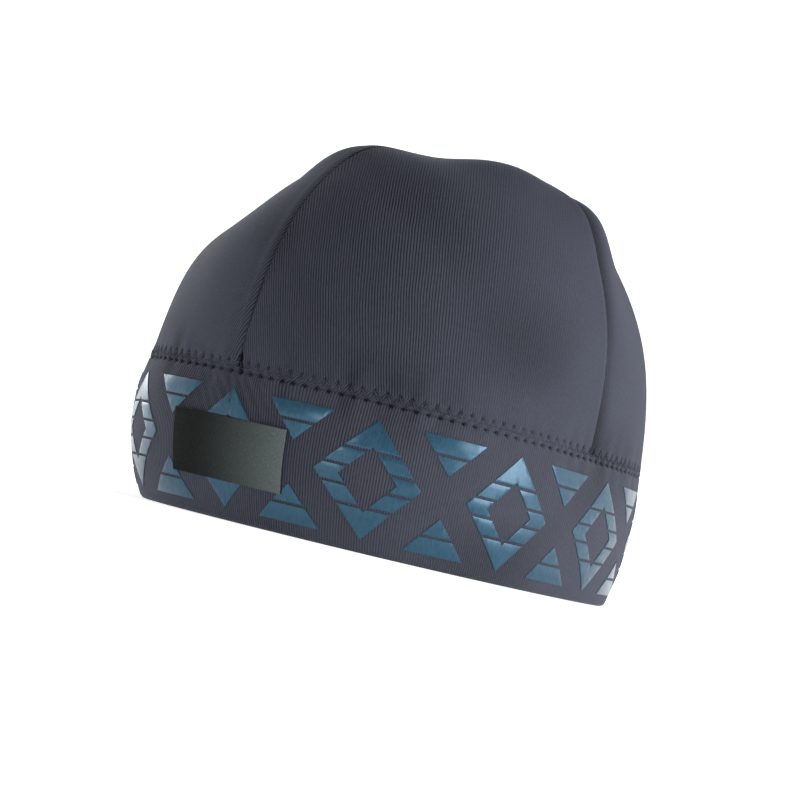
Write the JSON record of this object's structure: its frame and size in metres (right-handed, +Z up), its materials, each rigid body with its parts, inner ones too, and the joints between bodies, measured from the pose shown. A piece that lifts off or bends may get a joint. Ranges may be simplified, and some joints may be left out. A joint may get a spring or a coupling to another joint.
{
  "type": "neoprene beanie",
  "caption": "Close-fitting neoprene beanie: crown of gores on a doubled band, with a bare label at the front.",
  "frame": {"origin": "middle of the flat rim that the hat rests on, under the middle of its outline", "axes": "+Z up, -Y the front of the hat, +X the wearer's left"},
  "size_m": [0.1731, 0.1999, 0.1484],
  "materials": {
    "crown_cloth": "slate grey knitted jersey face on foam neoprene, matt with a soft sheen",
    "band_cloth": "slate grey knitted jersey face on foam neoprene, doubled, with a raised blue film print",
    "label_cloth": "black satin-woven label, bare"
  },
  "bodies": {
    "root": {"band": "band_cloth", "crown_front_left": "crown_cloth", "crown_front_right": "crown_cloth", "crown_back_left": "crown_cloth", "crown_back_right": "crown_cloth", "label": "label_cloth"}
  },
  "joints": []
}
